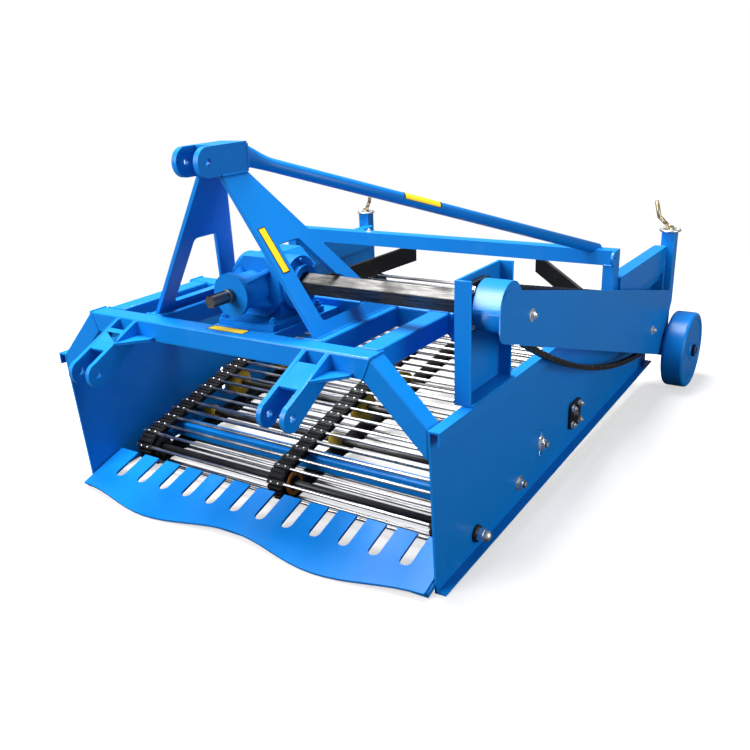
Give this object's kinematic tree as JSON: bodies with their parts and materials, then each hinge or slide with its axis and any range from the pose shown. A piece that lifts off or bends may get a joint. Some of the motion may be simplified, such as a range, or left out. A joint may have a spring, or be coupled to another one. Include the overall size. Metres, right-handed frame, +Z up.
{
  "type": "potato harvester",
  "caption": "Tractor-mounted potato harvester: a slotted digging blade feeds an inclined rod web between side plates, chain driven from the power take-off, with gauge wheels at the tail.",
  "frame": {"origin": "middle of the footprint's bounding box, on the ground", "axes": "+Z up, +Y to the rear, along the length, +X to the side that carries the drive chain"},
  "size_m": [1.691, 2.186, 1.104],
  "materials": {
    "blue_paint": "satin",
    "blue_casting": "satin over rough casting",
    "bare_steel": "drawn",
    "dark_steel": "worn",
    "black_casting": "oiled",
    "rubber": "matte",
    "nylon": "matte",
    "zinc": "zinc plated"
  },
  "bodies": {
    "frame": {"side_plate_left": "blue_paint", "side_plate_right": "blue_paint", "digging_blade": "blue_paint", "blade_bar": "blue_paint", "front_portal": "blue_paint", "rear_portal": "blue_paint", "outer_rails": "blue_paint", "inner_rails": "blue_paint", "gearbox_base": "blue_paint", "mast_plate_left": "blue_paint", "mast_plate_right": "blue_paint", "mast_head": "blue_paint", "top_stay": "blue_paint", "hitch_bracket_left": "blue_paint", "hitch_bracket_right": "blue_paint", "gearbox": "blue_casting", "pto_shaft": "dark_steel", "cross_shaft": "dark_steel", "drive_upright": "blue_paint", "drive_bearing": "black_casting", "front_sprocket": "dark_steel", "rear_sprocket": "dark_steel", "drive_chain": "black_casting", "chain_guard": "blue_paint", "web_belts": "rubber", "web_rods": "bare_steel", "front_rollers": "dark_steel", "drive_rollers": "dark_steel", "carrier_rollers": "nylon", "inner_tube": "blue_paint", "side_bearings": "black_casting", "rear_crossbar": "blue_paint", "flap_left": "rubber", "flap_right": "rubber", "gauge_arm_left": "blue_paint", "gauge_arm_right": "blue_paint", "gauge_sleeve_left": "blue_paint", "gauge_sleeve_right": "blue_paint", "crank_left": "zinc", "crank_right": "zinc"},
    "leg_left": {"gauge_leg_left": "blue_paint"},
    "leg_right": {"gauge_leg_right": "blue_paint"},
    "wheel_left": {"gauge_wheel_left": "blue_paint"},
    "wheel_right": {"gauge_wheel_right": "blue_paint"}
  },
  "joints": [
    {"name": "gauge_slide_left", "type": "slide", "parent": "frame", "child": "leg_left", "axis": [0, 0, 1], "range_m": [-0.1, 0.08]},
    {"name": "gauge_slide_right", "type": "slide", "parent": "frame", "child": "leg_right", "axis": [0, 0, 1], "range_m": [-0.1, 0.08]},
    {"name": "wheel_spin_left", "type": "hinge", "parent": "leg_left", "child": "wheel_left", "pos_m": [-0.79, 0.943, 0.15], "axis": [1, 0, 0], "continuous": true},
    {"name": "wheel_spin_right", "type": "hinge", "parent": "leg_right", "child": "wheel_right", "pos_m": [0.79, 0.943, 0.15], "axis": [1, 0, 0], "continuous": true}
  ]
}
